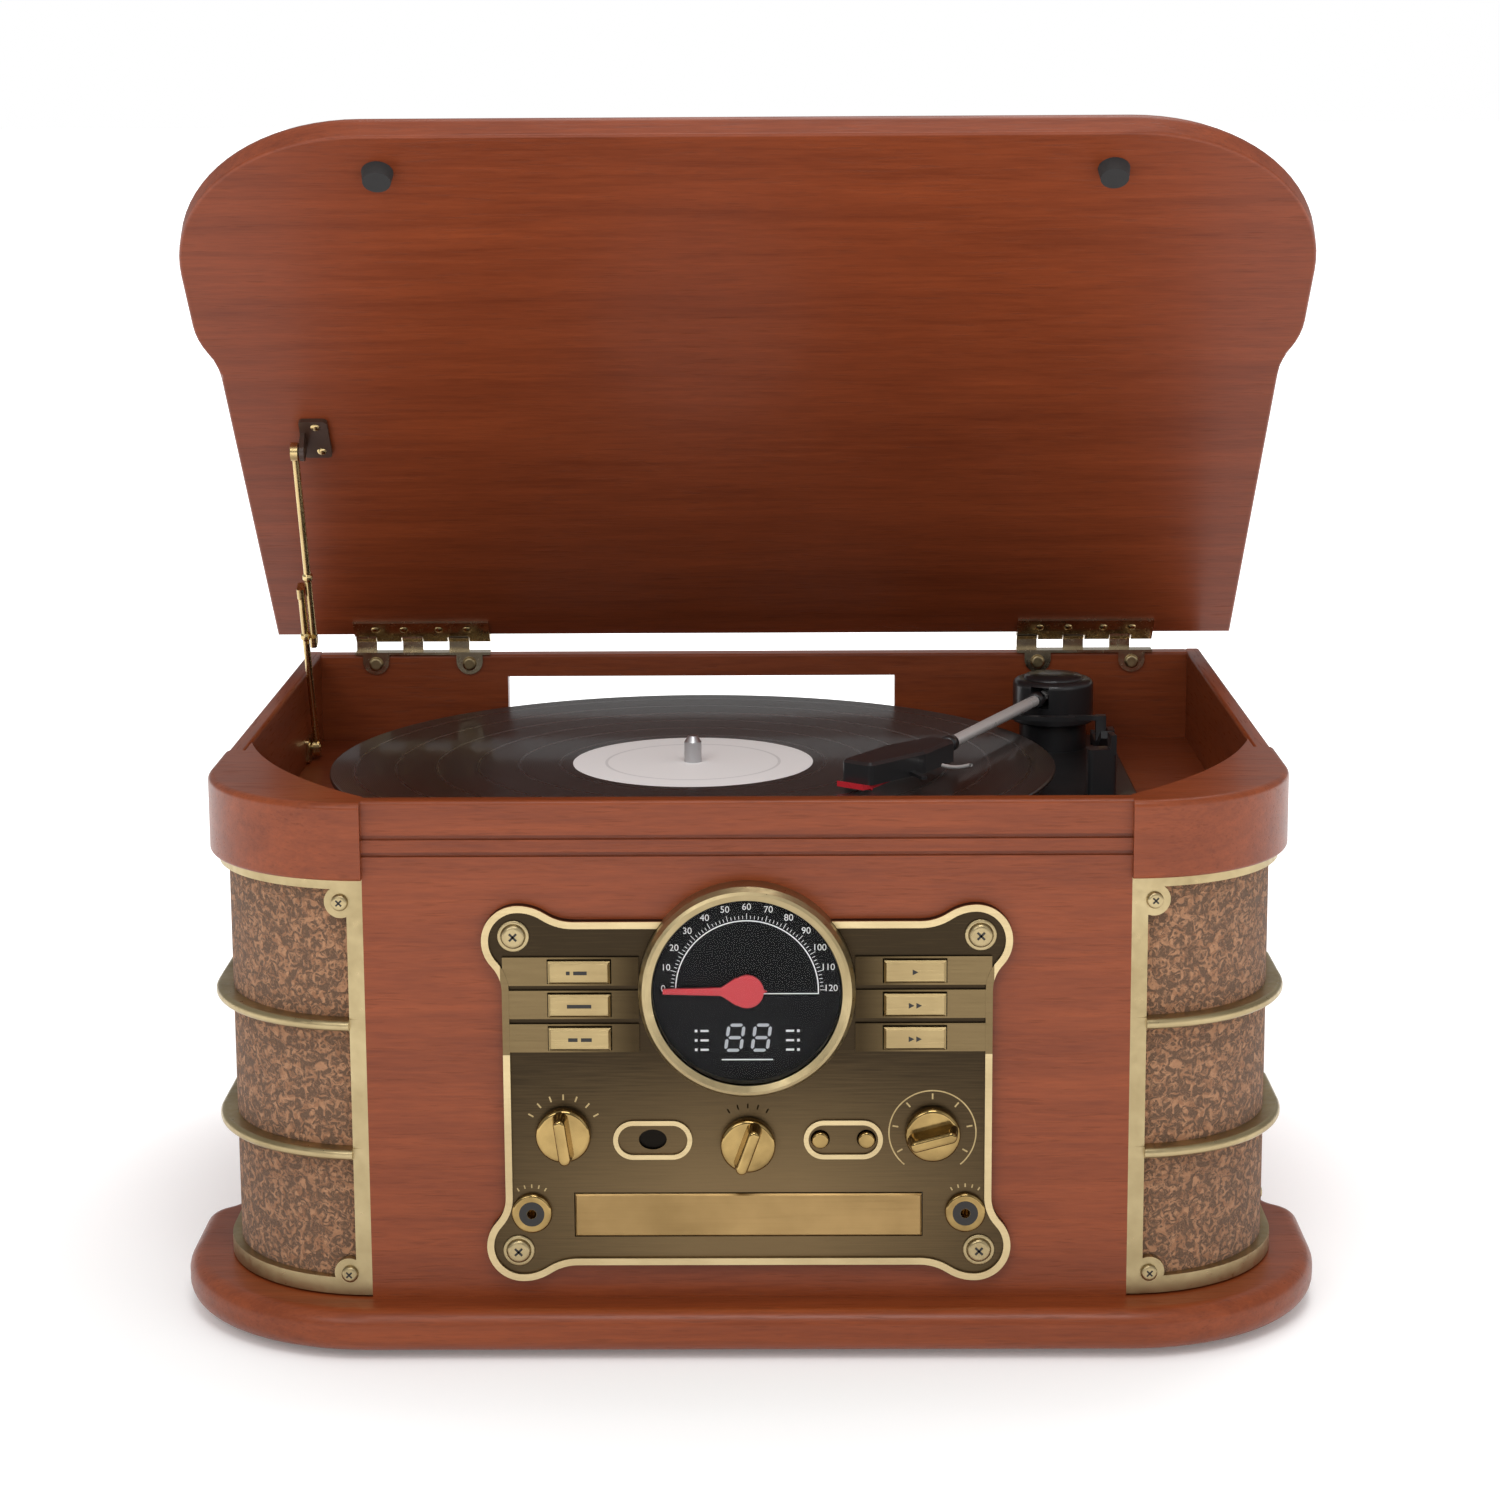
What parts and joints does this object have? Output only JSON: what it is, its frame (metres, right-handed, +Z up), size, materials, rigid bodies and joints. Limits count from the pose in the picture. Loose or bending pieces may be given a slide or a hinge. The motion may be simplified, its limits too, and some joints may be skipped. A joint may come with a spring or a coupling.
{
  "type": "record player",
  "caption": "Wooden record player with an open hinged lid, turntable and tonearm, round tuner dial, disc drawer and rounded speaker corners.",
  "frame": {"origin": "middle of the footprint, on the surface that the feet stand on", "axes": "+X to the right of someone facing the front, +Y to the back, +Z up"},
  "size_m": [0.451, 0.34, 0.457],
  "materials": {
    "cabinet_wood": "stained and lacquered veneer",
    "lid_wood": "stained and lacquered board",
    "raw_board": "raw fibreboard",
    "rubber": "matt",
    "black_metal": "satin black",
    "speaker_cloth": "woven tweed",
    "brass_trim": "satin",
    "bronze_plate": "brushed and darkened",
    "black_face": "matt black with printed scale",
    "clear_lens": "clear",
    "red_plastic": "gloss",
    "brass_knob": "satin",
    "tray_plastic": "bronze paint",
    "inner_metal": "plain",
    "circuit_board": "green laminate",
    "black_plastic": "fine grain",
    "platter_metal": "turned",
    "vinyl": "grooved",
    "label_paper": "paper",
    "arm_metal": "bright",
    "bright_steel": "bright"
  },
  "bodies": {
    "cabinet": {"amplifier_board": "circuit_board", "arm_rest": "black_plastic", "back_panel": "cabinet_wood", "cd_drive": "inner_metal", "control_plate": "bronze_plate", "deck_board": "cabinet_wood", "dial_bezel": "brass_trim", "dial_face": "black_face", "dial_lens": "clear_lens", "drive_belt": "rubber", "front_jacks": "brass_knob", "front_panel": "cabinet_wood", "hinge_base_leaves": "bright_steel", "left_grille_frame": "brass_trim", "left_shoulder": "cabinet_wood", "left_speaker_cloth": "speaker_cloth", "panel_screws": "brass_trim", "platter_motor": "inner_metal", "plinth": "cabinet_wood", "rear_terminals": "black_plastic", "right_grille_frame": "brass_trim", "right_shoulder": "cabinet_wood", "right_speaker_cloth": "speaker_cloth", "rubber_feet": "rubber", "side_panels": "cabinet_wood", "speaker_baffles": "raw_board", "speaker_drivers": "black_metal", "stay_wall_bracket": "brass_trim", "transformer": "inner_metal", "turntable_chassis": "black_plastic"},
    "lid": {"lid": "lid_wood", "lid_bumpers": "rubber", "hinge_lid_leaves": "bright_steel", "stay_lid_bracket": "black_metal"},
    "stay_upper": {"stay_upper_rod": "brass_trim"},
    "stay_lower": {"stay_lower_rod": "brass_trim"},
    "turntable": {"platter": "platter_metal", "platter_mat": "rubber", "record": "vinyl", "record_label": "label_paper"},
    "pulley": {"motor_pulley": "brass_trim"},
    "arm_base": {"tonearm_hub": "black_plastic"},
    "arm": {"tonearm_tube": "arm_metal", "headshell": "black_plastic", "stylus": "red_plastic"},
    "cue": {"cue_lever": "black_plastic"},
    "speed": {"speed_switch": "black_plastic"},
    "needle": {"dial_needle": "red_plastic"},
    "function_knob": {"function_knob": "brass_knob"},
    "tuning_knob": {"tuning_knob": "brass_knob"},
    "volume_knob": {"volume_knob": "brass_knob"},
    "stop_button": {"stop_button": "brass_knob"},
    "play_button": {"play_button": "brass_knob"},
    "disc_tray": {"cd_tray": "tray_plastic"},
    "left_top_button": {"left_top_button": "brass_knob"},
    "left_middle_button": {"left_middle_button": "brass_knob"},
    "left_bottom_button": {"left_bottom_button": "brass_knob"},
    "right_top_button": {"right_top_button": "brass_knob"},
    "right_middle_button": {"right_middle_button": "brass_knob"},
    "right_bottom_button": {"right_bottom_button": "brass_knob"}
  },
  "joints": [
    {"name": "lid_hinge", "type": "hinge", "parent": "cabinet", "child": "lid", "pos_m": [0, 0.163, 0.2195], "axis": [-1, 0, 0], "range_deg": [-45, 0]},
    {"name": "stay_upper_pivot", "type": "hinge", "parent": "lid", "child": "stay_upper", "pos_m": [-0.192, 0.04972, 0.31722], "axis": [-1, 0, 0], "range_deg": [-3.29, 0.2]},
    {"name": "stay_lower_pivot", "type": "hinge", "parent": "cabinet", "child": "stay_lower", "pos_m": [-0.1955, 0.113, 0.177], "axis": [-1, 0, 0], "range_deg": [-48.29, 0.2]},
    {"name": "platter_spin", "type": "hinge", "parent": "cabinet", "child": "turntable", "pos_m": [-0.024, 0.012, 0.1875], "axis": [0, 0, 1], "continuous": true},
    {"name": "pulley_spin", "type": "hinge", "parent": "cabinet", "child": "pulley", "pos_m": [-0.092, 0.05, 0.18], "axis": [0, 0, 1], "continuous": true},
    {"name": "tonearm_swing", "type": "hinge", "parent": "cabinet", "child": "arm_base", "pos_m": [0.135, 0.124, 0.186], "axis": [0, 0, 1], "range_deg": [-13, 30]},
    {"name": "tonearm_lift", "type": "hinge", "parent": "arm_base", "child": "arm", "pos_m": [0.135, 0.124, 0.199], "axis": [-0.9114, 0.4115, 0], "range_deg": [0, 6]},
    {"name": "cue_lever_turn", "type": "hinge", "parent": "cabinet", "child": "cue", "pos_m": [0.153, 0.109, 0.181], "axis": [-1, 0, 0], "range_deg": [0, 9.6]},
    {"name": "speed_switch_slide", "type": "slide", "parent": "cabinet", "child": "speed", "axis": [0, 1, 0], "range_m": [-0.008, 0.008]},
    {"name": "tuning_knob_turn", "type": "hinge", "parent": "cabinet", "child": "tuning_knob", "pos_m": [0, -0.153, 0.0808], "axis": [0, 1, 0], "range_deg": [0, 270]},
    {"name": "dial_needle_sweep", "type": "hinge", "parent": "cabinet", "child": "needle", "pos_m": [0, -0.153, 0.1409], "axis": [0, 1, 0], "range_deg": [0, 180]},
    {"name": "function_knob_turn", "type": "hinge", "parent": "cabinet", "child": "function_knob", "pos_m": [-0.0687, -0.153, 0.0848], "axis": [0, 1, 0], "range_deg": [-30, 90]},
    {"name": "volume_knob_turn", "type": "hinge", "parent": "cabinet", "child": "volume_knob", "pos_m": [0.0687, -0.153, 0.0848], "axis": [0, 1, 0], "range_deg": [-60, 210]},
    {"name": "disc_tray_slide", "type": "slide", "parent": "cabinet", "child": "disc_tray", "axis": [0, -1, 0], "range_m": [0, 0.128]},
    {"name": "left_top_button_press", "type": "slide", "parent": "cabinet", "child": "left_top_button", "axis": [0, 1, 0], "range_m": [0, 0.0016], "stiffness_N_per_m": 300, "springref_m": -0.0008},
    {"name": "left_middle_button_press", "type": "slide", "parent": "cabinet", "child": "left_middle_button", "axis": [0, 1, 0], "range_m": [0, 0.0016], "stiffness_N_per_m": 300, "springref_m": -0.0008},
    {"name": "left_bottom_button_press", "type": "slide", "parent": "cabinet", "child": "left_bottom_button", "axis": [0, 1, 0], "range_m": [0, 0.0016], "stiffness_N_per_m": 300, "springref_m": -0.0008},
    {"name": "right_top_button_press", "type": "slide", "parent": "cabinet", "child": "right_top_button", "axis": [0, 1, 0], "range_m": [0, 0.0016], "stiffness_N_per_m": 300, "springref_m": -0.0008},
    {"name": "right_middle_button_press", "type": "slide", "parent": "cabinet", "child": "right_middle_button", "axis": [0, 1, 0], "range_m": [0, 0.0016], "stiffness_N_per_m": 300, "springref_m": -0.0008},
    {"name": "right_bottom_button_press", "type": "slide", "parent": "cabinet", "child": "right_bottom_button", "axis": [0, 1, 0], "range_m": [0, 0.0016], "stiffness_N_per_m": 300, "springref_m": -0.0008},
    {"name": "stop_button_press", "type": "slide", "parent": "cabinet", "child": "stop_button", "axis": [0, 1, 0], "range_m": [0, 0.0016], "stiffness_N_per_m": 300, "springref_m": -0.0008},
    {"name": "play_button_press", "type": "slide", "parent": "cabinet", "child": "play_button", "axis": [0, 1, 0], "range_m": [0, 0.0016], "stiffness_N_per_m": 300, "springref_m": -0.0008}
  ],
  "couplings": [
    {"joint": "stay_lower_pivot", "follows": "lid_hinge", "ratio": 1.0688},
    {"joint": "stay_upper_pivot", "follows": "lid_hinge", "ratio": 0.06878},
    {"joint": "pulley_spin", "follows": "platter_spin", "ratio": 10},
    {"joint": "cue_lever_turn", "follows": "tonearm_lift", "ratio": 1.6},
    {"joint": "dial_needle_sweep", "follows": "tuning_knob_turn", "ratio": 0.6666}
  ]
}
